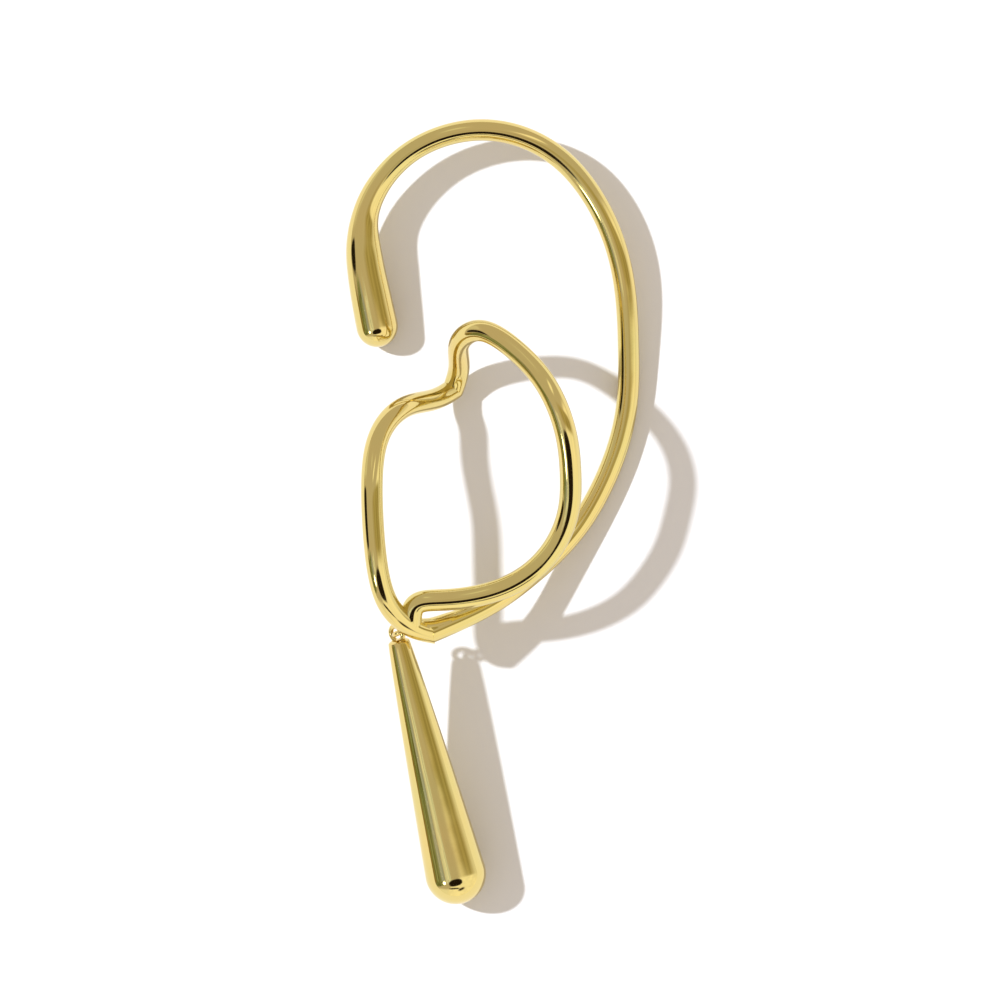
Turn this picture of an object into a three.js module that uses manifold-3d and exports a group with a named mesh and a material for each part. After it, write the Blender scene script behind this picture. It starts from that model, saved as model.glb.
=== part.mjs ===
// Ear cuff: one bent and soldered brass wire that hooks over the ear, with a teardrop hanging from
// it on a pair of linked eyes. It lies on a table: the ball end, the hook's outer side and the foot
// of the drop touch it, and the inner loop stands clear of it. Millimetres, +Z up.
import * as THREE from 'three';
import { mergeVertices } from 'three/addons/utils/BufferGeometryUtils.js';
import Module from 'manifold-3d';

// ---------------------------------------------------------------- driving dimensions
const WIRE_RADIUS = 1.27;         // round wire of the hook and of the inner loop
const WIRE_SIDES = 14;            // flats round the wire
const RING_SPACING = 1.1;         // distance between two rings of a bent wire
const DOME_RINGS = 4;             // rings in the round end of a wire

const EYE_RADIUS = 0.9;           // centre line of each of the two linked eyes
const EYE_WIRE_RADIUS = 0.3;
const EYE_SIDES = 8;
const EYE_SEGMENTS = 20;
const SOLDER_BITE = 0.3;          // how far an eye sinks into what it is soldered to

const DROP_TOP_RADIUS = 1.25;
const DROP_TOP_RISE = 0.45;       // the drop's top is nearly flat, and bulges this much
const DROP_FOOT_RADIUS = 3.5;
const DROP_SWELL = 0.9;           // under 1 the taper is slightly full, at 1 it is a straight cone
const DROP_SIDES = 28;
const DROP_TAPER_RINGS = 12;
const DROP_DOME_RINGS = 7;
const DROP_FOOT = new THREE.Vector3(-4.2, -41.4, 3.5);    // centre of the drop's round foot
const EYE_LEAN = new THREE.Vector3(-0.68, -0.29, -0.67);  // the side of the wire the eye stands on

// The wire is bent in four runs. Each row is a point on the centre line, and z is its height.
// The hook ends in a ball: its own radius is given only where it is thicker than the wire.
const HOOK = [
  { bend: 'ball end', x: -13.2, y: 21.2, z: 2.4, radius: 2.4 },
  { bend: 'ball neck', x: -14.0, y: 25.2, z: 3.1, radius: 2.3 },
  { bend: 'ball shoulder', x: -14.7, y: 29.7, z: 3.8, radius: 2.08 },
  { bend: 'thinning', x: -14.5, y: 33.9, z: 4.3, radius: 1.5 },
  { bend: 'front of the arch', x: -12.4, y: 38.1, z: 4.8, radius: 1.31 },
  { bend: 'arch', x: -9.2, y: 41.1, z: 5.1 },
  { bend: 'arch', x: -5.3, y: 42.9, z: 5.3 },
  { bend: 'top of the arch', x: -0.8, y: 43.5, z: 5.4 },
  { bend: 'arch', x: 3.7, y: 42.6, z: 5.3 },
  { bend: 'arch', x: 7.7, y: 40.3, z: 4.9 },
  { bend: 'back of the arch', x: 11.5, y: 35.9, z: 4.3 },
  { bend: 'back', x: 13.8, y: 31.2, z: 3.7 },
  { bend: 'back', x: 15.0, y: 26.6, z: 3.1 },
  { bend: 'back', x: 15.6, y: 18.9, z: 2.1 },
  { bend: 'back', x: 15.4, y: 11.9, z: 1.45 },
  { bend: 'on the table', x: 14.3, y: 7.1, z: 1.27 },
  { bend: 'on the table', x: 12.5, y: 2.7, z: 1.27 },
  { bend: 'lifting', x: 10.5, y: -0.8, z: 1.5 },
  { bend: 'lifting', x: 7.9, y: -4.0, z: 2.3 },
  { bend: 'under the loop', x: 4.2, y: -7.4, z: 4.0 },
  { bend: 'under the loop', x: 0.5, y: -10.1, z: 5.9 },
  { bend: 'sweep to the corner', x: -2.3, y: -11.6, z: 7.2 },
  { bend: 'corner', x: -6.6, y: -13.5, z: 9.0 },
];
const LOOP_FRONT = [
  { bend: 'corner', x: -6.7, y: -13.7, z: 9.0 },
  { bend: 'below the loop', x: -8.0, y: -13.45, z: 9.65 },
  { bend: 'over the eye', x: -9.2, y: -12.95, z: 10.35 },
  { bend: 'below the loop', x: -10.2, y: -12.25, z: 11.05 },
  { bend: 'front foot', x: -11.5, y: -10.8, z: 12.0 },
  { bend: 'front foot', x: -12.4, y: -8.7, z: 12.9 },
  { bend: 'front', x: -13.0, y: -5.6, z: 13.6 },
  { bend: 'front', x: -13.4, y: -1.0, z: 13.9 },
  { bend: 'front', x: -13.5, y: 3.6, z: 13.8 },
  { bend: 'front', x: -13.1, y: 7.4, z: 12.5 },
  { bend: 'shoulder', x: -12.0, y: 10.0, z: 10.8 },
  { bend: 'falling', x: -10.4, y: 11.6, z: 9.0 },
  { bend: 'falling', x: -8.3, y: 12.4, z: 6.3 },
  { bend: 'falling', x: -6.1, y: 13.0, z: 3.5 },
  { bend: 'notch', x: -4.5, y: 14.0, z: 1.8 },
];
const LOOP_BACK = [
  { bend: 'notch', x: -4.5, y: 14.0, z: 1.8 },
  { bend: 'rising', x: -3.9, y: 15.8, z: 2.9 },
  { bend: 'rising', x: -3.8, y: 17.4, z: 5.0 },
  { bend: 'rising', x: -3.8, y: 18.9, z: 7.7 },
  { bend: 'crown', x: -3.0, y: 20.0, z: 10.0 },
  { bend: 'crown', x: -1.5, y: 20.5, z: 11.6 },
  { bend: 'crown', x: 0.9, y: 19.5, z: 12.9 },
  { bend: 'crown', x: 3.0, y: 17.8, z: 13.8 },
  { bend: 'back', x: 5.4, y: 15.2, z: 14.8 },
  { bend: 'back', x: 7.2, y: 12.0, z: 15.2 },
  { bend: 'back', x: 8.4, y: 8.1, z: 14.7 },
  { bend: 'back', x: 8.8, y: 4.2, z: 13.6 },
  { bend: 'back', x: 8.6, y: 0.1, z: 12.6 },
  { bend: 'over the hook', x: 7.3, y: -3.4, z: 11.9 },
  { bend: 'over the hook', x: 4.9, y: -6.4, z: 11.6 },
  { bend: 'foot', x: 1.8, y: -8.4, z: 11.3 },
  { bend: 'foot', x: -1.2, y: -9.4, z: 11.2 },
  { bend: 'foot', x: -4.5, y: -9.9, z: 11.2 },
  { bend: 'foot', x: -7.1, y: -10.0, z: 11.2 },
  { bend: 'turned in', x: -8.7, y: -10.3, z: 11.1 },
];
const LOOP_TUCK = [
  { bend: 'turned in', x: -8.7, y: -10.3, z: 11.1 },
  { bend: 'soldered to the front', x: -9.2, y: -12.5, z: 10.5 },
];

// Solder fills the inner side of the corner to a smooth bend. Its ends lie inside the wires.
const CORNER_SOLDER = [
  { bend: 'along the front', x: -8.4, y: -13.15, z: 9.85, radius: 1.15 },
  { bend: 'inside the corner', x: -7.4, y: -13.25, z: 9.4, radius: 1.15 },
  { bend: 'inside the corner', x: -6.4, y: -13.05, z: 8.95, radius: 1.15 },
  { bend: 'inside the corner', x: -5.3, y: -12.65, z: 8.5, radius: 1.15 },
  { bend: 'along the hook', x: -4.2, y: -12.35, z: 8.05, radius: 1.15 },
];

// ---------------------------------------------------------------- bent wire
const toPoint = (row) => new THREE.Vector3(row.x, row.y, row.z);

// A smooth line through the rows of one run.
const centreLine = (run) => new THREE.CatmullRomCurve3(run.map(toPoint), false, 'centripetal');

// The wire's radius at a place counted in rows, such as 2.5 for half way from row 2 to row 3.
function radiusAt(run, place) {
  const row = Math.min(Math.floor(place), run.length - 2);
  const [here, next] = [run[row], run[row + 1]].map((end) => end.radius ?? WIRE_RADIUS);
  return THREE.MathUtils.lerp(here, next, place - row);
}

// Rings along the run, each square to the centre line.
function wireRings(run) {
  const line = centreLine(run);
  const steps = Math.ceil(line.getLength() / RING_SPACING);
  const frames = line.computeFrenetFrames(steps, false);
  return frames.tangents.map((along, step) => ({
    centre: line.getPointAt(step / steps),
    along,
    side: frames.normals[step],
    up: frames.binormals[step],
    radius: radiusAt(run, line.getUtoTmapping(step / steps) * (run.length - 1)),
  }));
}

// The rings of the half ball that closes an end, from the pole inwards. sense is -1 at the start.
function domeRings(endRing, sense) {
  const rings = [];
  for (let step = 1; step < DOME_RINGS; step += 1) {
    const angle = (Math.PI / 2) * (step / DOME_RINGS);
    const reach = sense * endRing.radius * Math.cos(angle);
    rings.push({
      ...endRing,
      centre: endRing.centre.clone().addScaledVector(endRing.along, reach),
      radius: endRing.radius * Math.sin(angle),
    });
  }
  return rings;
}

// One closed skin over a list of rings, with a point at each end.
function skin(rings, startPole, endPole, sides) {
  const positions = [];
  for (const ring of rings) {
    for (let side = 0; side < sides; side += 1) {
      const angle = (2 * Math.PI * side) / sides;
      const rim = ring.centre.clone();
      rim.addScaledVector(ring.side, ring.radius * Math.cos(angle));
      rim.addScaledVector(ring.up, ring.radius * Math.sin(angle));
      positions.push(...rim);
    }
  }
  positions.push(...startPole, ...endPole);
  const startIndex = rings.length * sides;
  const lastRing = startIndex - sides;
  const triangles = [];
  for (let side = 0; side < sides; side += 1) {
    const next = (side + 1) % sides;
    triangles.push(startIndex, next, side);
    triangles.push(startIndex + 1, lastRing + side, lastRing + next);
    for (let corner = 0; corner < lastRing; corner += sides) {
      triangles.push(corner + side, corner + next, corner + sides + side);
      triangles.push(corner + next, corner + sides + next, corner + sides + side);
    }
  }
  const geometry = new THREE.BufferGeometry();
  geometry.setAttribute('position', new THREE.Float32BufferAttribute(positions, 3));
  geometry.setIndex(triangles);
  return geometry;
}

// A bent round wire with a half ball on each end.
function bentWire(run) {
  const rings = wireRings(run);
  const first = rings[0];
  const last = rings[rings.length - 1];
  const startPole = first.centre.clone().addScaledVector(first.along, -first.radius);
  const endPole = last.centre.clone().addScaledVector(last.along, last.radius);
  const allRings = [...domeRings(first, -1), ...rings, ...domeRings(last, 1).reverse()];
  return skin(allRings, startPole, endPole, WIRE_SIDES);
}

// ---------------------------------------------------------------- the two linked eyes
// The cuff's eye stands square on the wire. The drop's eye goes round the far side of it, and
// stands on the drop's tip. Each eye's wire runs through the middle of the other.
const eyeRow = LOOP_FRONT.findIndex((row) => row.bend === 'over the eye');
const wireLine = centreLine(LOOP_FRONT).getTangent(eyeRow / (LOOP_FRONT.length - 1));
const eyeLine = EYE_LEAN.clone().projectOnPlane(wireLine).normalize();
const alongEye = (distance) => toPoint(LOOP_FRONT[eyeRow]).addScaledVector(eyeLine, distance);
const eyeReach = WIRE_RADIUS - SOLDER_BITE + EYE_RADIUS;
const cuffEyeCentre = alongEye(eyeReach);
const dropEyeCentre = alongEye(eyeReach + EYE_RADIUS);
const dropAxis = dropEyeCentre.clone().sub(DROP_FOOT).normalize();
const crossLine = eyeLine.clone().cross(dropAxis);

// A ring in the plane of two directions.
function eye(centre, along, across) {
  const geometry = new THREE.TorusGeometry(EYE_RADIUS, EYE_WIRE_RADIUS, EYE_SIDES, EYE_SEGMENTS);
  const face = along.clone().cross(across).normalize();
  const place = new THREE.Matrix4().makeBasis(along, face.clone().cross(along), face);
  geometry.applyMatrix4(place.setPosition(centre));
  return geometry;
}

// ---------------------------------------------------------------- the drop
// Half the outline of the drop, from the pole of its foot up to the pole of its top.
function dropOutline(length) {
  const outline = [];
  for (let step = 0; step < DROP_DOME_RINGS; step += 1) {
    const angle = (Math.PI / 2) * (step / DROP_DOME_RINGS);
    const reach = DROP_FOOT_RADIUS * Math.cos(angle);
    outline.push(new THREE.Vector2(DROP_FOOT_RADIUS * Math.sin(angle), -reach));
  }
  for (let step = 0; step <= DROP_TAPER_RINGS; step += 1) {
    const fromTop = 1 - step / DROP_TAPER_RINGS;
    const radius = THREE.MathUtils.lerp(DROP_TOP_RADIUS, DROP_FOOT_RADIUS, fromTop ** DROP_SWELL);
    outline.push(new THREE.Vector2(radius, length * (1 - fromTop)));
  }
  for (let step = 1; step <= DOME_RINGS; step += 1) {
    const angle = (Math.PI / 2) * (step / DOME_RINGS);
    const radius = step === DOME_RINGS ? 0 : DROP_TOP_RADIUS * Math.cos(angle);
    outline.push(new THREE.Vector2(radius, length + DROP_TOP_RISE * Math.sin(angle)));
  }
  return outline;
}

function dropBody() {
  const eyeHeight = EYE_RADIUS - SOLDER_BITE;
  const length = dropEyeCentre.distanceTo(DROP_FOOT) - eyeHeight - DROP_TOP_RISE;
  return new THREE.LatheGeometry(dropOutline(length), DROP_SIDES);
}

// ---------------------------------------------------------------- soldering pieces into one solid
const wasm = await Module();
wasm.setup();

function toSolid(geometry) {
  const bare = geometry.clone();
  bare.deleteAttribute('normal');
  bare.deleteAttribute('uv');
  const merged = mergeVertices(bare);
  const vertProperties = new Float32Array(merged.attributes.position.array);
  const triVerts = new Uint32Array(merged.index.array);
  return new wasm.Manifold(new wasm.Mesh({ numProp: 3, vertProperties, triVerts }));
}

function toGeometry(solid) {
  const mesh = solid.getMesh();
  const geometry = new THREE.BufferGeometry();
  geometry.setAttribute('position', new THREE.BufferAttribute(mesh.vertProperties, 3));
  geometry.setIndex(new THREE.BufferAttribute(mesh.triVerts, 1));
  geometry.computeVertexNormals();
  return geometry;
}

function solder(geometries) {
  const joined = geometries.map(toSolid).reduce((sofar, next) => sofar.add(next));
  return toGeometry(joined);
}

// ---------------------------------------------------------------- assembly
function goldPiece(name, geometry) {
  const material = new THREE.MeshStandardMaterial({ color: 0xd9b84f, roughness: 0.12, metalness: 1 });
  const mesh = new THREE.Mesh(geometry, material);
  mesh.name = name;
  return mesh;
}

// The drop is turned on a lathe about Y, with the centre of its foot at the origin.
function pendantDrop() {
  const stand = new THREE.Matrix4();
  stand.makeRotationFromQuaternion(
    new THREE.Quaternion().setFromUnitVectors(new THREE.Vector3(0, 1, 0), dropAxis),
  );
  stand.setPosition(DROP_FOOT);
  const ring = eye(dropEyeCentre, dropAxis, eyeLine).applyMatrix4(stand.clone().invert());
  const drop = goldPiece('teardrop', solder([dropBody(), ring]));
  drop.applyMatrix4(stand);
  return drop;
}

function cuffWire() {
  const runs = [HOOK, LOOP_FRONT, LOOP_BACK, LOOP_TUCK, CORNER_SOLDER].map(bentWire);
  const ring = eye(cuffEyeCentre, eyeLine, crossLine);
  return goldPiece('cuff_wire', solder([...runs, ring]));
}

// The origin is the middle of the cuff's footprint, on the table.
function standOnTable(part) {
  const box = new THREE.Box3().setFromObject(part, true);
  const middle = box.getCenter(new THREE.Vector3());
  part.position.set(-middle.x, -middle.y, -box.min.z);
  return part;
}

const earCuff = new THREE.Group();
earCuff.name = 'ear_cuff';
earCuff.add(cuffWire(), pendantDrop());
standOnTable(earCuff);

export default earCuff;
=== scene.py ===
# %% [markdown]
# # A gold ear cuff with a teardrop
# The real jewel is made of two lengths of round brass wire, bent cold over a former, soldered together
# and gold plated. One is a long hook that goes over the top of the ear and ends in a ball. The other is
# an inner loop that sits in the ear. A cast teardrop hangs from the loop's lowest part on two small
# linked eyes. Here the cuff lies on a pale table.
#
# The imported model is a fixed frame. It says how big everything is and where it is, and nothing below
# moves it. Every finished piece is made in metres, in that same frame, and stands in for a plainer one.

# %% Load the frame
import math
from collections import namedtuple

import bmesh
import bpy
import numpy as np
from mathutils import Matrix, Vector


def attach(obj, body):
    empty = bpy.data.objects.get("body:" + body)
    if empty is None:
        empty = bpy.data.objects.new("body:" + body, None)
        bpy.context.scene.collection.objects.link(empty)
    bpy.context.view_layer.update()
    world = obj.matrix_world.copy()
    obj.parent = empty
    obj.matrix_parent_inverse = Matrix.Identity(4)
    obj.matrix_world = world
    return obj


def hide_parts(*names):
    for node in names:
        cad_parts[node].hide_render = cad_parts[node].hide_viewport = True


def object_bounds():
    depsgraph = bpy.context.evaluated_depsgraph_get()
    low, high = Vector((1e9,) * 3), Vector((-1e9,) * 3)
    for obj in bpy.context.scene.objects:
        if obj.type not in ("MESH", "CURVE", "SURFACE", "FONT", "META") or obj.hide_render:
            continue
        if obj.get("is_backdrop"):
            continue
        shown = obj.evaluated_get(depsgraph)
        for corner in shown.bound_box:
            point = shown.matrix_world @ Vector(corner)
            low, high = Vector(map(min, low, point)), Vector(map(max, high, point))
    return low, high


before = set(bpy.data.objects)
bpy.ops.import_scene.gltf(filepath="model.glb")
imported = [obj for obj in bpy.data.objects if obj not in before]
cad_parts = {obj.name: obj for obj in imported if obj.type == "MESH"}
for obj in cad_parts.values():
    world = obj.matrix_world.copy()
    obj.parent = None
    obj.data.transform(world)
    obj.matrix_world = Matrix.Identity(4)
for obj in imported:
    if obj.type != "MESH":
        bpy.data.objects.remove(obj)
cad_low, cad_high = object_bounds()
MM = 0.001
print("nodes", sorted(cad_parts), "size in mm", [round(side / MM, 2) for side in cad_high - cad_low])

# %% [markdown]
# ## The camera
# The cuff is seen from straight above, from a little over half a metre, with a long lens. A long lens
# keeps the high inner loop nearly the same size as the low hook. The camera hangs over the middle of
# the cuff's box, a millimetre off it, and looks along its own -Z, which is straight down unturned.

# %% Camera
CAMERA_ASIDE = Vector((0.8, 1.4)) * MM
CAMERA_HEIGHT = 575 * MM
LENS = 180
SENSOR_WIDTH = 36

middle = (cad_low + cad_high) / 2
camera = bpy.data.objects.new("camera_above", bpy.data.cameras.new("camera_above"))
camera.data.lens = LENS
camera.data.sensor_width = SENSOR_WIDTH
camera.location = (middle.x + CAMERA_ASIDE.x, middle.y + CAMERA_ASIDE.y, CAMERA_HEIGHT)
bpy.context.scene.collection.objects.link(camera)
bpy.context.scene.camera = camera
print("camera at", [round(place / MM, 1) for place in camera.location])

# %% [markdown]
# ## Where the wire bends
# A bench jeweller bends wire at a few places and lets it run fairly between them, so the wire is told
# the same way: one row for each bend, with a point on the centre line in millimetres. The radius is
# given only where it isn't the wire's own, at the ball end, which is filed to a smooth taper, and in
# the solder that has run into the corner.

# %% Bends
WIRE_RADIUS = 1.236
SOLDER_RADIUS = 1.14
Bend = namedtuple("Bend", "name x y z radius", defaults=[WIRE_RADIUS])

HOOK = [
    Bend("ball end", -13.2, 21.2, 2.4, 2.4),
    Bend("ball neck", -14.0, 25.2, 3.1, 2.3),
    Bend("ball shoulder", -14.7, 29.7, 3.8, 2.08),
    Bend("thinning", -14.5, 33.9, 4.3, 1.5),
    Bend("front of the arch", -12.4, 38.1, 4.8, 1.31),
    Bend("arch", -9.2, 41.1, 5.1),
    Bend("arch", -5.3, 42.9, 5.3),
    Bend("top of the arch", -0.8, 43.5, 5.4),
    Bend("arch", 3.7, 42.6, 5.3),
    Bend("arch", 7.7, 40.3, 4.9),
    Bend("back of the arch", 11.5, 35.9, 4.3),
    Bend("back", 13.8, 31.2, 3.7),
    Bend("back", 15.0, 26.6, 3.1),
    Bend("back", 15.6, 18.9, 2.1),
    Bend("back", 15.4, 11.9, 1.45),
    Bend("on the table", 14.3, 7.1, 1.27),
    Bend("on the table", 12.5, 2.7, 1.27),
    Bend("lifting", 10.5, -0.8, 1.5),
    Bend("lifting", 7.9, -4.0, 2.3),
    Bend("under the loop", 4.2, -7.4, 4.0),
    Bend("under the loop", 0.5, -10.1, 5.9),
    Bend("sweep to the corner", -2.3, -11.6, 7.2),
    Bend("corner", -6.6, -13.5, 9.0),
]
LOOP_FRONT = [
    Bend("corner", -6.7, -13.7, 9.0),
    Bend("below the loop", -8.0, -13.45, 9.65),
    Bend("over the eye", -9.2, -12.95, 10.35),
    Bend("below the loop", -10.2, -12.25, 11.05),
    Bend("front foot", -11.5, -10.8, 12.0),
    Bend("front foot", -12.4, -8.7, 12.9),
    Bend("front", -13.0, -5.6, 13.6),
    Bend("front", -13.4, -1.0, 13.9),
    Bend("front", -13.5, 3.6, 13.8),
    Bend("front", -13.1, 7.4, 12.5),
    Bend("shoulder", -12.0, 10.0, 10.8),
    Bend("falling", -10.4, 11.6, 9.0),
    Bend("falling", -8.3, 12.4, 6.3),
    Bend("falling", -6.1, 13.0, 3.5),
    Bend("notch", -4.5, 14.0, 1.8),
]
LOOP_BACK = [
    Bend("notch", -4.5, 14.0, 1.8),
    Bend("rising", -3.9, 15.8, 2.9),
    Bend("rising", -3.8, 17.4, 5.0),
    Bend("rising", -3.8, 18.9, 7.7),
    Bend("crown", -3.0, 20.0, 10.0),
    Bend("crown", -1.5, 20.5, 11.6),
    Bend("crown", 0.9, 19.5, 12.9),
    Bend("crown", 3.0, 17.8, 13.8),
    Bend("back", 5.4, 15.2, 14.8),
    Bend("back", 7.2, 12.0, 15.2),
    Bend("back", 8.4, 8.1, 14.7),
    Bend("back", 8.8, 4.2, 13.6),
    Bend("back", 8.6, 0.1, 12.6),
    Bend("over the hook", 7.3, -3.4, 11.9),
    Bend("over the hook", 4.9, -6.4, 11.6),
    Bend("foot", 1.8, -8.4, 11.3),
    Bend("foot", -1.2, -9.4, 11.2),
    Bend("foot", -4.5, -9.9, 11.2),
    Bend("foot", -7.1, -10.0, 11.2),
    Bend("turned in", -8.7, -10.3, 11.1),
    Bend("soldered to the front", -9.2, -12.5, 10.5),
]
CORNER_SOLDER = [
    Bend("along the front", -8.4, -13.15, 9.85, SOLDER_RADIUS),
    Bend("inside the corner", -7.4, -13.25, 9.4, SOLDER_RADIUS),
    Bend("inside the corner", -6.4, -13.05, 8.95, SOLDER_RADIUS),
    Bend("inside the corner", -5.3, -12.65, 8.5, SOLDER_RADIUS),
    Bend("along the hook", -4.2, -12.35, 8.05, SOLDER_RADIUS),
]
print("bends in the hook", len(HOOK), "in the loop", len(LOOP_FRONT) + len(LOOP_BACK))

# %% [markdown]
# ## A sprung line through the bends
# Sprung wire takes a curve whose bend changes evenly, with no sudden kink. A natural cubic spline is
# the mathematical form of that: between two rows it is a cubic, and its bend runs on across each row.
# Blender's own curves could pass near the rows too, but this one passes through every one of them.

# %% Sprung line
def natural_spline(knots, at, wanted):
    """The natural cubic spline through the knots, which lie at the lengths `at`, at the wanted lengths."""
    gaps = np.diff(at)
    count = len(at)
    system = np.eye(count)
    turn = np.zeros_like(knots)
    for row in range(1, count - 1):
        before, after = gaps[row - 1], gaps[row]
        system[row, row - 1:row + 2] = before, 2 * (before + after), after
        turn[row] = 6 * ((knots[row + 1] - knots[row]) / after - (knots[row] - knots[row - 1]) / before)
    bend = np.linalg.solve(system, turn)
    row = np.clip(np.searchsorted(at, wanted) - 1, 0, count - 2)
    gap = gaps[row][:, None]
    right = (wanted - at[row])[:, None] / gap
    left = 1 - right
    swing = (left ** 3 - left) * bend[row] + (right ** 3 - right) * bend[row + 1]
    return left * knots[row] + right * knots[row + 1] + swing * gap ** 2 / 6


half_way = natural_spline(np.array([[0.0], [1.0], [0.0]]), np.array([0.0, 1.0, 2.0]), np.array([0.5]))
print("a line sprung over one peg, half way to it, is at", half_way.item())

# %% [markdown]
# ## A fair line
# A last light smoothing is what a planishing hammer does, and it keeps the tight notch from kinking.
# Each point is averaged with its neighbours, the near ones counting most. Polished metal shows every
# kink in its reflections, so this matters more here than it would on dull stock.

# %% Fair line
RING_SPACING = 0.22
PLANISH_REACH = 2.2


def planish(column, past_the_end):
    """One column of numbers along the wire, averaged with its neighbours on both sides."""
    reach = min(round(PLANISH_REACH / RING_SPACING), len(column) - 1)
    weights = np.hanning(2 * reach + 1)
    longer = np.pad(column, reach, mode="reflect", reflect_type=past_the_end)
    return np.convolve(longer, weights / weights.sum(), mode="valid")


def fair_line(bends):
    """Points and radii along a run of wire, in millimetres, a ring's spacing apart."""
    knots = np.array([(bend.x, bend.y, bend.z) for bend in bends])
    radii = np.array([bend.radius for bend in bends])
    at = np.concatenate([[0], np.cumsum(np.linalg.norm(np.diff(knots, axis=0), axis=1))])
    wanted = np.linspace(0, at[-1], math.ceil(at[-1] / RING_SPACING) + 1)
    sprung = natural_spline(knots, at, wanted)
    points = np.column_stack([planish(column, "odd") for column in sprung.T])
    return points, planish(np.interp(wanted, at, radii), "even")


def length_of(points):
    """The length of a line of points."""
    return np.linalg.norm(np.diff(points, axis=0), axis=1).sum()


hook_points, hook_radii = fair_line(HOOK)
front_points, front_radii = fair_line(LOOP_FRONT)
back_points, back_radii = fair_line(LOOP_BACK)
fill_points, fill_radii = fair_line(CORNER_SOLDER)
for name, points in (("hook", hook_points), ("loop's front", front_points), ("loop's back", back_points)):
    print("wire in the", name, round(length_of(points), 1), "mm")

# %% [markdown]
# ## A tree that sweeps a round bar along a line
# Wire, ball, eyes and drop are all one idea: a round section that follows a line and may grow or
# shrink on the way. That is a rule, so Geometry Nodes makes them. The line comes in as bare edges
# whose points carry an attribute, the thickness at that place. The tree turns the edges into a curve,
# sweeps a circle along it, scales the circle by the thickness, closes the poles where the thickness
# is nothing, and puts on the finish. Besides the line it has three named inputs: how many sides the
# bar has, a factor on its thickness, and its finish.

# %% Sweep tree
THICKNESS = "thickness"
BAR_SIDES = 48
SAME_POINT = 1e-7


def plug(tree, source, output, target, socket):
    """Links an output of one node to an input of another."""
    tree.links.new(source.outputs[output], target.inputs[socket])


def sweep_tree():
    """The tree, with a group input and output, and a chain of nodes between them."""
    tree = bpy.data.node_groups.new("round_bar_along_a_line", "GeometryNodeTree")
    face = tree.interface
    face.new_socket("Line", in_out="INPUT", socket_type="NodeSocketGeometry")
    face.new_socket("Sides", in_out="INPUT", socket_type="NodeSocketInt").default_value = BAR_SIDES
    face.new_socket("Thickness", in_out="INPUT", socket_type="NodeSocketFloat").default_value = 1
    face.new_socket("Finish", in_out="INPUT", socket_type="NodeSocketMaterial")
    face.new_socket("Bar", in_out="OUTPUT", socket_type="NodeSocketGeometry")

    made = {}
    for key, kind in (
        ("in", "NodeGroupInput"), ("curve", "GeometryNodeMeshToCurve"),
        ("section", "GeometryNodeCurvePrimitiveCircle"), ("grown", "GeometryNodeInputNamedAttribute"),
        ("scale", "ShaderNodeMath"), ("sweep", "GeometryNodeCurveToMesh"),
        ("poles", "GeometryNodeMergeByDistance"), ("smooth", "GeometryNodeSetShadeSmooth"),
        ("real", "GeometryNodeRealizeInstances"), ("finish", "GeometryNodeSetMaterial"),
        ("out", "NodeGroupOutput"),
    ):
        made[key] = tree.nodes.new(kind)
    made["grown"].data_type = "FLOAT"
    made["grown"].inputs["Name"].default_value = THICKNESS
    made["scale"].operation = "MULTIPLY"
    made["section"].inputs["Radius"].default_value = 1
    made["poles"].inputs["Distance"].default_value = SAME_POINT

    for source, output, target, socket in (
        ("in", "Line", "curve", "Mesh"), ("in", "Sides", "section", "Resolution"),
        ("grown", "Attribute", "scale", 0), ("in", "Thickness", "scale", 1),
        ("curve", "Curve", "sweep", "Curve"), ("section", "Curve", "sweep", "Profile Curve"),
        ("scale", 0, "sweep", "Scale"), ("sweep", "Mesh", "poles", "Geometry"),
        ("poles", "Geometry", "smooth", "Geometry"), ("smooth", "Geometry", "real", "Geometry"),
        ("real", "Geometry", "finish", "Geometry"), ("in", "Finish", "finish", "Material"),
        ("finish", "Geometry", "out", "Bar"),
    ):
        plug(tree, made[source], output, made[target], socket)
    return tree


round_bar = sweep_tree()
print("tree", round_bar.name, "with", len(round_bar.nodes), "nodes")

# %% [markdown]
# ## Patterns for a finish
# A finish gets its life from slow, uneven change. A noise pattern on the piece's own coordinates gives
# that, and stays put on the piece whichever way it is seen. Noise mostly keeps to the middle of its
# range, so it is spread before it is used. As bump it bends the light without moving the surface, which
# suits marks far too shallow to model.

# %% Patterns
NOISE_LOW = 0.3
NOISE_HIGH = 0.7


def noise_at(tree, place, feature_size, detail):
    """A noise pattern on the piece's own coordinates, with features of about the given size."""
    noise = tree.nodes.new("ShaderNodeTexNoise")
    noise.inputs["Scale"].default_value = 1 / feature_size
    noise.inputs["Detail"].default_value = detail
    plug(tree, place, "Object", noise, "Vector")
    return noise


def spread(tree, noise, low, high):
    """The noise, spread over the range from low to high."""
    levels = tree.nodes.new("ShaderNodeMapRange")
    levels.inputs["From Min"].default_value = NOISE_LOW
    levels.inputs["From Max"].default_value = NOISE_HIGH
    levels.inputs["To Min"].default_value = low
    levels.inputs["To Max"].default_value = high
    plug(tree, noise, "Fac", levels, "Value")
    return levels


def shallow_bump(tree, noise, depth, under=None):
    """A bump of that depth in metres, on top of another bump if there is one under it."""
    bump = tree.nodes.new("ShaderNodeBump")
    bump.inputs["Strength"].default_value = 1
    bump.inputs["Distance"].default_value = depth
    plug(tree, noise, "Fac", bump, "Height")
    if under:
        plug(tree, under, "Normal", bump, "Normal")
    return bump


print("noise is spread from", NOISE_LOW, "to", NOISE_HIGH)

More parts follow.
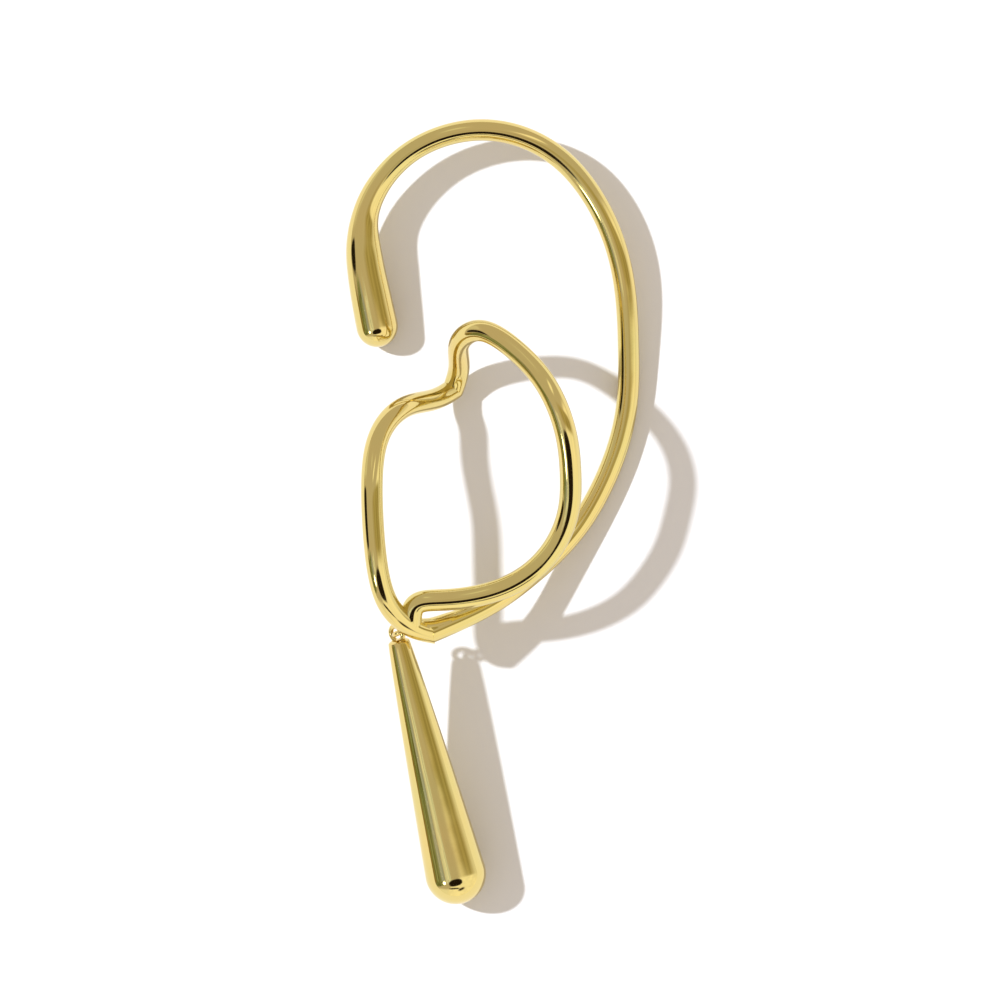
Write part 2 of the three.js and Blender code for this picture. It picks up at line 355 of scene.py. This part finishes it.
# %% [markdown]
# ## The finish: polished gold plate
# Gold plate over brass is a bare metal: it has no colour of its own under the light, it only tints
# what it mirrors. So the shader is all metallic, with a warm yellow base colour that drifts a little
# between a greener and a redder gold. The polish isn't perfect. A slow swell of the surface comes
# from hand polishing, and a fine orange peel from the plating. A faint cloudiness in the roughness
# stands for the fine haze that handling leaves.

# %% Gold
GREEN_GOLD = (0.68, 0.58, 0.22, 1)
RED_GOLD = (0.73, 0.57, 0.21, 1)
CLOUD_SIZE = 9 * MM
HAZE_SIZE = 2.5 * MM
CLEAR_POLISH = 0.045
HAZY_POLISH = 0.09
SWELL_SIZE = 6 * MM
SWELL_DEPTH = 0.05 * MM
PEEL_SIZE = 0.6 * MM
PEEL_DEPTH = 0.0012 * MM


def polished_gold():
    """Yellow gold plate with a drifting tint, a little haze, and a swell with orange peel on it."""
    gold = bpy.data.materials.new("polished_gold")
    gold.use_nodes = True
    tree = gold.node_tree
    metal = tree.nodes["Principled BSDF"]
    metal.inputs["Metallic"].default_value = 1
    place = tree.nodes.new("ShaderNodeTexCoord")

    tint = tree.nodes.new("ShaderNodeMix")
    tint.data_type = "RGBA"
    tint.inputs["A"].default_value = GREEN_GOLD
    tint.inputs["B"].default_value = RED_GOLD
    clouds = noise_at(tree, place, CLOUD_SIZE, detail=3)
    plug(tree, spread(tree, clouds, 0, 1), "Result", tint, "Factor")
    plug(tree, tint, "Result", metal, "Base Color")

    haze = noise_at(tree, place, HAZE_SIZE, detail=4)
    plug(tree, spread(tree, haze, CLEAR_POLISH, HAZY_POLISH), "Result", metal, "Roughness")

    swell = shallow_bump(tree, noise_at(tree, place, SWELL_SIZE, detail=1), SWELL_DEPTH)
    peel = shallow_bump(tree, noise_at(tree, place, PEEL_SIZE, detail=2), PEEL_DEPTH, under=swell)
    plug(tree, peel, "Normal", metal, "Normal")
    return gold


gold = polished_gold()
print("finish", gold.name, "with", len(gold.node_tree.nodes), "nodes")

# %% [markdown]
# ## Ends of a bar
# An end that shows is rounded off with a half ball, whose rings shrink to nothing. An end that will be
# filed flat first runs on straight with some spare wire, as a jeweller leaves, so that the file has
# metal to take off.

# %% Ends
DOME_RINGS = 14
SPARE_WIRE = 12


def unit(direction):
    """The same direction, one long."""
    return direction / np.linalg.norm(direction)


def round_ends(points, radii):
    """The same line with a half ball's worth of ever smaller rings beyond each end."""
    angles = np.linspace(0, math.pi / 2, DOME_RINGS + 1)[1:, None]
    start = points[0] + radii[0] * np.sin(angles) * unit(points[0] - points[1])
    end = points[-1] + radii[-1] * np.sin(angles) * unit(points[-1] - points[-2])
    shrinking = np.cos(angles).ravel()
    longer = np.vstack([start[::-1], points, end])
    return longer, np.concatenate([shrinking[::-1] * radii[0], radii, shrinking * radii[-1]])


def run_on(points, radii, past_the_end):
    """The same line with some spare rings straight on past its end, or before its start."""
    if not past_the_end:
        longer, same = run_on(points[::-1], radii[::-1], past_the_end=True)
        return longer[::-1], same[::-1]
    steps = np.arange(1, SPARE_WIRE + 1)[:, None]
    spare = points[-1] + steps * (points[-1] - points[-2])
    return np.vstack([points, spare]), np.concatenate([radii, np.full(SPARE_WIRE, radii[-1])])


spare_hook, spare_hook_radii = run_on(hook_points, hook_radii, past_the_end=True)
spare_front, spare_front_radii = run_on(front_points, front_radii, past_the_end=False)
print("spare wire at the corner", round(length_of(spare_hook) - length_of(hook_points), 1), "mm")

# %% [markdown]
# ## From a line to a solid
# Each bar starts as bare edges with a thickness at every point. The modifier gets its inputs by their
# identifiers, the result is frozen as a plain mesh, and the modifier goes. Its faces are then turned to
# point outwards.

# %% Bars
def frozen(name, worker):
    """What a worker object looks like with its modifiers, as a plain mesh object. The worker goes."""
    bpy.context.view_layer.update()
    evaluated = worker.evaluated_get(bpy.context.evaluated_depsgraph_get())
    mesh = bpy.data.meshes.new_from_object(evaluated)
    bpy.data.objects.remove(worker)
    mesh.name = name
    piece = bpy.data.objects.new(name, mesh)
    bpy.context.scene.collection.objects.link(piece)
    return piece


def face_outwards(piece):
    """Turns every face of a closed piece to point away from its inside."""
    shell = bmesh.new()
    shell.from_mesh(piece.data)
    bmesh.ops.recalc_face_normals(shell, faces=shell.faces)
    if shell.calc_volume(signed=True) < 0:
        bmesh.ops.reverse_faces(shell, faces=shell.faces)
    shell.to_mesh(piece.data)
    shell.free()


def bar(name, points, radii, sides=BAR_SIDES, ring=False):
    """A round bar along points in millimetres. A ring joins its last point to its first."""
    count = len(points)
    edges = [(step, step + 1) for step in range(count - 1)]
    if ring:
        edges.append((count - 1, 0))
    line = bpy.data.meshes.new(name)
    line.from_pydata(points * MM, edges, [])
    line.attributes.new(THICKNESS, "FLOAT", "POINT").data.foreach_set("value", radii * MM)
    worker = bpy.data.objects.new(name, line)
    bpy.context.scene.collection.objects.link(worker)
    sweep = worker.modifiers.new("sweep", "NODES")
    sweep.node_group = round_bar
    sockets = {item.name: item.identifier for item in round_bar.interface.items_tree}
    sweep[sockets["Sides"]] = sides
    sweep[sockets["Thickness"]] = 1.0
    sweep[sockets["Finish"]] = gold
    solid = frozen(name, worker)
    face_outwards(solid)
    return solid


hook = bar("hook", *round_ends(spare_hook, spare_hook_radii))
front = bar("loop_front", *round_ends(spare_front, spare_front_radii))
back = bar("loop_back", *round_ends(back_points, back_radii))
corner_solder = bar("corner_solder", *round_ends(fill_points, fill_radii))
for piece in (hook, front, back, corner_solder):
    print(piece.name, len(piece.data.polygons), "faces")

# %% [markdown]
# ## Filing a wire's end
# A file takes off everything beyond a flat plane. Here a bisect does that, with a cap over the cut. It
# works only on what lies near the given rings, because the plane, which has no end, would otherwise cut
# the rest of the wire too where the wire comes past it again.

# %% Filing
FILED_REACH = 1.1 * WIRE_RADIUS
ON_THE_PLANE = 1e-9


def file_end(piece, end_rings, point, outwards):
    """Files an end flat: near those rings, it cuts off what lies beyond a plane and caps the cut."""
    shell = bmesh.new()
    shell.from_mesh(piece.data)
    places = np.array([vertex.co for vertex in shell.verts]) / MM
    apart = np.linalg.norm(places[:, None] - end_rings, axis=2).min(axis=1)
    shell.verts.ensure_lookup_table()
    near = {shell.verts[index] for index in np.flatnonzero(apart < FILED_REACH)}
    part = list(near)
    part += [edge for edge in shell.edges if near.issuperset(edge.verts)]
    part += [face for face in shell.faces if near.issuperset(face.verts)]
    plane = {"plane_co": Vector(point * MM), "plane_no": Vector(outwards)}
    filed = bmesh.ops.bisect_plane(shell, geom=part, dist=ON_THE_PLANE, clear_outer=True, **plane)
    rim = [edge for edge in filed["geom_cut"] if isinstance(edge, bmesh.types.BMEdge)]
    bmesh.ops.contextual_create(shell, geom=rim)
    shell.to_mesh(piece.data)
    shell.free()


print("a file reaches", round(FILED_REACH, 2), "mm from the line")

# %% [markdown]
# ## The soldered corner
# Hook and loop are two lengths of wire that meet at the lowest corner. The jeweller files both ends to
# the same slope, a mitre, and floods the seam with solder, which leaves a fine straight line. So each
# bar is cut by one plane between the two. The loop's end sits a touch lower, and that small step keeps
# the seam visible. Both bars keep a hair of overlap, for the solder to join. A little more solder has
# run into the inner side of the corner and makes it a smooth bend: that is the fourth bar.

# %% Mitre
SEAM_OVERLAP = 0.02
SEAM_RINGS = 24
WAY_RINGS = 5

hook_way = unit(hook_points[-1] - hook_points[-1 - WAY_RINGS])
front_way = unit(front_points[WAY_RINGS] - front_points[0])
seam_way = hook_way + front_way
seam_way[2] = 0
seam_way = unit(seam_way)
seam = (hook_points[-1] + front_points[0]) / 2
file_end(hook, spare_hook[-SEAM_RINGS:], seam + seam_way * SEAM_OVERLAP, seam_way)
file_end(front, spare_front[:SEAM_RINGS], seam - seam_way * SEAM_OVERLAP, -seam_way)
print("seam at", seam.round(2), "facing", seam_way.round(2))

# %% [markdown]
# ## The two linked eyes
# The drop swings on two small rings, one soldered to the wire and one to the drop's tip, each passing
# through the middle of the other. Each is a short bar bent into a ring, so the same tree sweeps it. The
# cuff's eye stands square on the wire, and the drop's eye goes round the far side of that one.

# %% Eyes
EYE_RADIUS = 0.9
EYE_WIRE_RADIUS = 0.3
EYE_STEPS = 64
EYE_SIDES = 20
SOLDER_BITE = 0.3
EYE_LEAN = np.array([-0.68, -0.29, -0.67])
DROP_FOOT = np.array([-4.2, -41.4, 3.5])


def eye(name, centre, along, across):
    """A ring in the plane of two directions that are square to each other."""
    angles = np.linspace(0, 2 * math.pi, EYE_STEPS, endpoint=False)[:, None]
    points = centre + EYE_RADIUS * (np.cos(angles) * along + np.sin(angles) * across)
    return bar(name, points, np.full(EYE_STEPS, EYE_WIRE_RADIUS), sides=EYE_SIDES, ring=True)


eye_bend = next(bend for bend in LOOP_FRONT if bend.name == "over the eye")
from_bend = np.linalg.norm(front_points - np.array([eye_bend.x, eye_bend.y, eye_bend.z]), axis=1)
eye_ring = int(np.argmin(from_bend))
wire_way = unit(front_points[eye_ring + 1] - front_points[eye_ring - 1])
eye_way = unit(EYE_LEAN - wire_way * (EYE_LEAN @ wire_way))
eye_reach = WIRE_RADIUS - SOLDER_BITE + EYE_RADIUS
cuff_eye_centre = front_points[eye_ring] + eye_way * eye_reach
drop_eye_centre = front_points[eye_ring] + eye_way * (eye_reach + EYE_RADIUS)
drop_way = unit(drop_eye_centre - DROP_FOOT)
side_way = unit(np.cross(eye_way, drop_way))
cuff_eye = eye("cuff_eye", cuff_eye_centre, eye_way, side_way)
face_way = unit(np.cross(drop_way, eye_way))
drop_eye = eye("drop_eye", drop_eye_centre, drop_way, unit(np.cross(face_way, drop_way)))
print("drop leans", round(math.degrees(math.asin(drop_way[2])), 1), "degrees up from the table")

# %% [markdown]
# ## The teardrop
# The drop is cast solid and polished. Its outline is a rule: a ball for the foot, then a taper that
# starts square to the ball's own edge, so that no line shows where one becomes the other, and a nearly
# flat top. A lathe or a screw modifier would turn that outline too, but the same tree does it.

# %% Drop
DROP_TOP_RADIUS = 1.25
DROP_TOP_RISE = 0.45
DROP_FOOT_RADIUS = 3.49
DROP_SWELL = 0.9
DROP_SIDES = 96
FOOT_RINGS = 40
TAPER_RINGS = 160


def drop_outline(length):
    """Places along the drop's axis from the middle of its foot, and the radius at each."""
    slope = DROP_SWELL * (DROP_FOOT_RADIUS - DROP_TOP_RADIUS) / length
    leave = math.atan(slope)
    full = DROP_FOOT_RADIUS / math.cos(leave)
    ball = np.linspace(-math.pi / 2, leave, FOOT_RINGS)
    taper = np.linspace(DROP_FOOT_RADIUS * math.sin(leave), length, TAPER_RINGS)[1:]
    tip = np.linspace(0, math.pi / 2, DOME_RINGS + 1)[1:]
    places = [DROP_FOOT_RADIUS * np.sin(ball), taper, length + DROP_TOP_RISE * np.sin(tip)]
    radii = [
        DROP_FOOT_RADIUS * np.cos(ball),
        DROP_TOP_RADIUS + (full - DROP_TOP_RADIUS) * (1 - taper / length) ** DROP_SWELL,
        DROP_TOP_RADIUS * np.cos(tip),
    ]
    return np.concatenate(places), np.concatenate(radii)


eye_height = EYE_RADIUS - SOLDER_BITE
drop_length = np.linalg.norm(drop_eye_centre - DROP_FOOT) - eye_height - DROP_TOP_RISE
places, drop_radii = drop_outline(drop_length)
drop_body = bar("drop_body", DROP_FOOT + places[:, None] * drop_way, drop_radii, sides=DROP_SIDES)
print("drop", round(drop_length + DROP_FOOT_RADIUS + DROP_TOP_RISE, 1), "mm long")

# %% [markdown]
# ## Solder
# Soldered pieces are one solid: there is no inside wall where they meet. Boolean modifiers join them,
# with the solver that is made for closed meshes, which is quick and leaves closed meshes. Where two
# skins run almost together it leaves slivers, and those are cleared. Afterwards everything is smooth
# again, but for the creases at the joints, which stay sharp.

# %% Solder
CREASE = math.radians(35)
SHORTEST_EDGE = 0.0001 * MM


def split_many_sided(shell):
    """Cuts every face with more than four corners into triangles."""
    bmesh.ops.triangulate(shell, faces=[face for face in shell.faces if len(face.verts) > 4])


def clean_joint(piece):
    """Clears the slivers that a joint leaves: tiny edges, faces without area, and folded pairs."""
    shell = bmesh.new()
    shell.from_mesh(piece.data)
    split_many_sided(shell)
    bmesh.ops.dissolve_degenerate(shell, edges=shell.edges, dist=SHORTEST_EDGE)
    split_many_sided(shell)
    lying_on = {}
    folded = []
    for face in shell.faces:
        corners = frozenset(face.verts)
        if corners in lying_on:
            folded += [face, lying_on[corners]]
        lying_on[corners] = face
    bmesh.ops.delete(shell, geom=folded, context="FACES")
    shell.to_mesh(piece.data)
    shell.free()


def solder(name, first, *others):
    """One solid out of several that bite into each other."""
    for other in others:
        join = first.modifiers.new("solder to " + other.name, "BOOLEAN")
        join.object = other
        join.operation = "UNION"
        join.solver = "MANIFOLD"
    piece = frozen(name, first)
    for other in others:
        bpy.data.objects.remove(other)
    clean_joint(piece)
    face_outwards(piece)
    piece.data.shade_smooth()
    piece.data.set_sharp_from_angle(angle=CREASE)
    return piece


cuff = solder("cuff_wire_polished", hook, front, back, corner_solder, cuff_eye)
drop = solder("teardrop_polished", drop_body, drop_eye)
for piece in (cuff, drop):
    piece.data.calc_loop_triangles()
    print(piece.name, len(piece.data.loop_triangles), "triangles")

# %% [markdown]
# ## Onto the table
# The bends were told about their own origin. The frame's origin is the middle of the footprint, on the
# table, so both pieces shift together until they stand there. The shift goes into the meshes, and the
# objects themselves stay at the origin, because that is how the frame's own nodes are kept.

# %% Stand on the table
corners = np.array([vertex.co for piece in (cuff, drop) for vertex in piece.data.vertices])
low, high = corners.min(axis=0), corners.max(axis=0)
shift = Vector((-(low[0] + high[0]) / 2, -(low[1] + high[1]) / 2, -low[2]))
for piece, node in ((cuff, "cuff_wire"), (drop, "teardrop")):
    piece.data.transform(Matrix.Translation(shift))
    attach(piece, "root")
    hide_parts(node)
print("shift in mm", [round(step / MM, 3) for step in shift])

# %% [markdown]
# ## The table
# A sheet of white card, large enough to run out of every view. It is bright enough that the lit part
# shows as pure white, so only the shadow has a colour. It isn't part of the jewel, so it is staged.

# %% Table
TABLE_HALF = 2
TABLE_DROP = 0.02 * MM
CARD_WHITE = (0.87, 0.86, 0.85, 1)
CARD_ROUGHNESS = 0.9


def white_card():
    """Matt white card, with no gloss at all."""
    card = bpy.data.materials.new("white_card")
    card.use_nodes = True
    paper = card.node_tree.nodes["Principled BSDF"]
    paper.inputs["Roughness"].default_value = CARD_ROUGHNESS
    paper.inputs["Specular IOR Level"].default_value = 0
    paper.inputs["Base Color"].default_value = CARD_WHITE
    return card


outline = [(x * TABLE_HALF, y * TABLE_HALF, -TABLE_DROP) for x, y in ((-1, -1), (1, -1), (1, 1), (-1, 1))]
sheet = bpy.data.meshes.new("table")
sheet.from_pydata(outline, [], [(0, 1, 2, 3)])
sheet.materials.append(white_card())
table = bpy.data.objects.new("table", sheet)
bpy.context.scene.collection.objects.link(table)
table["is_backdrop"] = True
print("table", 2 * TABLE_HALF, "m wide")

# %% [markdown]
# ## Light
# A small hard lamp high on the left throws the long clean shadow to the lower right. The rest of the
# room is a soft warm grey that fills the shadow. A lamp of the sun kind has parallel rays, and its
# angle is the lamp's size, which sets how soft the shadow's edge is. The gold doesn't mirror this lamp:
# its sparkle comes from a small bright card further down, which can be placed by itself.

# %% Light
TOWARDS_LAMP = Vector((-0.657, 0.243, 0.714))
LAMP_STRENGTH = 3.8
LAMP_COLOUR = (0.85, 0.905, 1.0)
LAMP_ANGLE = math.radians(2.4)
ROOM_COLOUR = (0.68, 0.62, 0.57, 1)

lamp = bpy.data.objects.new("hard_lamp", bpy.data.lights.new("hard_lamp", "SUN"))
lamp.data.energy = LAMP_STRENGTH
lamp.data.angle = LAMP_ANGLE
lamp.data.color = LAMP_COLOUR
lamp.visible_glossy = False
lamp.rotation_mode = "QUATERNION"
lamp.rotation_quaternion = TOWARDS_LAMP.to_track_quat("Z", "Y")
bpy.context.scene.collection.objects.link(lamp)

world = bpy.data.worlds.new("soft_room")
world.use_nodes = True
world.node_tree.nodes["Background"].inputs["Color"].default_value = ROOM_COLOUR
bpy.context.scene.world = world
bpy.context.scene.view_settings.view_transform = "Standard"
print("lamp", round(math.degrees(TOWARDS_LAMP.angle(Vector((0, 0, 1)))), 1), "degrees from straight up")

# %% [markdown]
# ## What the gold mirrors
# Polished metal shows the room, not itself. A studio shapes it with cards: black ones draw dark lines
# that give the wire its roundness, white ones lift it, and a window adds a little blue and green. The cards here glow with their own colour, so the lamp doesn't matter to them. A card of
# several colours mixes them in soft patches. Towards its edge a card turns clear, by an attribute on
# its mesh, so that no hard line shows in the gold.

# %% Card finish
COVER = "cover"
FIRST_STOP = 0.38
STOPS_SPAN = 0.24


def patchy_colour(tree, colours, patch):
    """A ramp through the colours, read by a noise with patches of about that size in metres."""
    ramp = tree.nodes.new("ShaderNodeValToRGB")
    for step, colour in enumerate(colours):
        stop = ramp.color_ramp.elements[step] if step < 2 else ramp.color_ramp.elements.new(1)
        stop.position = FIRST_STOP + STOPS_SPAN * step / (len(colours) - 1)
        stop.color = (*colour, 1)
    place = tree.nodes.new("ShaderNodeTexCoord")
    plug(tree, noise_at(tree, place, patch, detail=3), "Fac", ramp, "Fac")
    return ramp


def card_finish(name, colours, patch):
    """A glow of one colour, or of several in soft patches, that is clear where the cover is thin."""
    finish = bpy.data.materials.new(name)
    finish.use_nodes = True
    finish.cycles.emission_sampling = "NONE"
    tree = finish.node_tree
    tree.nodes.remove(tree.nodes["Principled BSDF"])
    light = tree.nodes.new("ShaderNodeEmission")
    light.inputs["Color"].default_value = (*colours[0], 1)
    if len(colours) > 1:
        plug(tree, patchy_colour(tree, colours, patch), "Color", light, "Color")
    clear = tree.nodes.new("ShaderNodeBsdfTransparent")
    cover = tree.nodes.new("ShaderNodeAttribute")
    cover.attribute_name = COVER
    mix = tree.nodes.new("ShaderNodeMixShader")
    plug(tree, cover, "Fac", mix, "Fac")
    plug(tree, clear, "BSDF", mix, 1)
    plug(tree, light, "Emission", mix, 2)
    plug(tree, mix, "Shader", tree.nodes["Material Output"], "Surface")
    return finish


print("colours of a patchy card lie between", FIRST_STOP, "and", round(FIRST_STOP + STOPS_SPAN, 2))

# %% [markdown]
# ## The shape of a card
# The cards are patches of a dome over the jewel. A place on the dome is told by its lean: how many
# degrees it is away from straight up, to the right (+X) and to the back (+Y). Flat boards would do too,
# but leans say directly where a reflection will show. Each patch is a web of rings and spokes, with a
# rounded outline between an ellipse and a rectangle, and it fades over a soft edge.

# %% Card shape
DOME_RADIUS = 1.2
LAYER_GAP = 0.01
CARD_RINGS = 24
CARD_SPOKES = 96
SMALLEST_LEAN = 1e-6

Card = namedtuple("Card", "name middle half turn square soft colours patch", defaults=[0.1])


def card_leans(plan, rings):
    """The leans to the right and to the back of every point of a card, ring by ring, the hub last."""
    turns = np.linspace(0, 2 * math.pi, CARD_SPOKES, endpoint=False)
    across, up = np.abs(np.cos(turns)) ** plan.square, np.abs(np.sin(turns)) ** plan.square
    reach = (across + up) ** (-1 / plan.square)
    long_way = np.outer(rings, plan.half[0] * reach * np.cos(turns)).ravel()
    short_way = np.outer(rings, plan.half[1] * reach * np.sin(turns)).ravel()
    turn = math.radians(plan.turn)
    right = plan.middle[0] + long_way * math.cos(turn) - short_way * math.sin(turn)
    back = plan.middle[1] + long_way * math.sin(turn) + short_way * math.cos(turn)
    return np.append(right, plan.middle[0]), np.append(back, plan.middle[1])


def on_the_dome(right, back, radius):
    """The points of a dome of that radius that have those leans."""
    lean = np.maximum(np.hypot(right, back), SMALLEST_LEAN)
    sideways = radius * np.sin(np.radians(lean)) / lean
    return np.stack([sideways * right, sideways * back, radius * np.cos(np.radians(lean))], axis=-1)


def web_faces():
    """Triangles from the hub to the first ring, and four-sided faces from ring to ring."""
    hub = CARD_RINGS * CARD_SPOKES
    faces = [(hub, spoke, (spoke + 1) % CARD_SPOKES) for spoke in range(CARD_SPOKES)]
    for ring in range(CARD_RINGS - 1):
        for spoke in range(CARD_SPOKES):
            here = ring * CARD_SPOKES + spoke
            there = ring * CARD_SPOKES + (spoke + 1) % CARD_SPOKES
            faces.append((here, here + CARD_SPOKES, there + CARD_SPOKES, there))
    return faces


print("a card has", len(web_faces()), "faces")

# %% [markdown]
# ## Hanging the cards
# Only reflections see the cards: they light nothing, cast no shadow and hide from the camera. They are
# staged, like the table. Later rows hang nearer, in front of earlier ones. A row gives the middle and
# the half sizes in degrees, the turn, how square the outline is, how many degrees the edge is soft
# over, the colours, and the size of their patches in metres.

# %% Cards
CARDS = [
    Card("white_wall_in_front", (0, -90), (115, 36), 0, 8, 10, [(1.12, 1.1, 1.08)]),
    Card("white_wall_right", (63, -63), (72, 85), -45, 6, 10, [(1.2, 1.15, 1.08), (1.35, 1.3, 1.2)], 0.3),
    Card("low_light_right", (90, 30), (26, 55), 0, 4, 16, [(1.0, 0.97, 0.95)]),
    Card("light_wall_left", (-76, 40), (26, 26), 0, 4, 10, [(0.85, 0.82, 0.78)]),
    Card("light_strip_behind", (17, 26), (18, 6), 48, 3, 4, [(1.3, 1.25, 1.15)]),
    Card("small_lamp_behind", (-10, 36), (7, 14), 20, 2, 6, [(0.9, 0.87, 0.8)]),
    Card("shelf_right", (40, 1), (48, 13), 8, 3, 7, [(0.58, 0.50, 0.28), (0.42, 0.36, 0.17)], 0.3),
    Card(
        "hedge", (-63, -34), (24, 18), 20, 3, 4,
        [(0.12, 0.10, 0.03), (0.22, 0.27, 0.11), (0.45, 0.5, 0.36)], 0.05,
    ),
    Card("grey_pane", (-45, -27), (9, 14), 15, 3, 4, [(0.36, 0.42, 0.55), (0.55, 0.6, 0.75)], 0.06),
    Card(
        "sky", (-25, -25), (13, 14), 15, 3, 6,
        [(0.55, 0.58, 0.6), (0.95, 1.0, 1.08), (1.2, 1.2, 1.2)], 0.06,
    ),
    Card("window_sill", (-82, -30), (9, 13), 0, 3, 4, [(0.33, 0.25, 0.08)]),
    Card("black_doorway_left", (-71, -3), (16, 14), 0, 3, 3, [(0.02, 0.015, 0.01)]),
    Card("black_card_in_front", (0, -32), (28, 14), 14, 2.5, 2.5, [(0.02, 0.013, 0.008)]),
    Card("dark_card_low_right", (22, -58), (17, 7), 25, 2.5, 4, [(0.08, 0.06, 0.03)]),
    Card("dark_strip_low", (-5, -55), (24, 4), 4, 2.5, 1.5, [(0.06, 0.045, 0.02)]),
    Card("spark", (-42, -35), (6.5, 6.5), 0, 2, 4, [(12.0, 12.0, 12.0)]),
]


def hang_card(plan, layer):
    """Makes one card, fading towards its edge, that many layers in from the dome."""
    rings = np.linspace(0, 1, CARD_RINGS + 1)[1:]
    points = on_the_dome(*card_leans(plan, rings), DOME_RADIUS - layer * LAYER_GAP)
    mesh = bpy.data.meshes.new(plan.name)
    mesh.from_pydata(points, [], web_faces())
    fade = np.clip((1 - rings) * min(plan.half) / plan.soft, 0, 1)
    cover = np.append(np.repeat(fade * fade * (3 - 2 * fade), CARD_SPOKES), 1)
    mesh.attributes.new(COVER, "FLOAT", "POINT").data.foreach_set("value", cover)
    mesh.materials.append(card_finish(plan.name, plan.colours, plan.patch))
    card = bpy.data.objects.new(plan.name, mesh)
    bpy.context.scene.collection.objects.link(card)
    card.visible_camera = False
    card.visible_diffuse = False
    card.visible_shadow = False
    card.visible_transmission = False
    card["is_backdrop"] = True


for layer, plan in enumerate(CARDS):
    hang_card(plan, layer)
print(len(CARDS), "cards on a dome of", DOME_RADIUS, "m")

# %% [markdown]
# ## Sizes
# The frame's box and the finished box are printed. The finished jewel has to stay inside the
# frame's box, which is why its wire is a hair thinner.

# %% Sizes
low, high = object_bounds()
for name, box_low, box_high in (("cad", cad_low, cad_high), ("finished", low, high)):
    print(name, [round(side / MM, 2) for side in box_low], [round(side / MM, 2) for side in box_high])
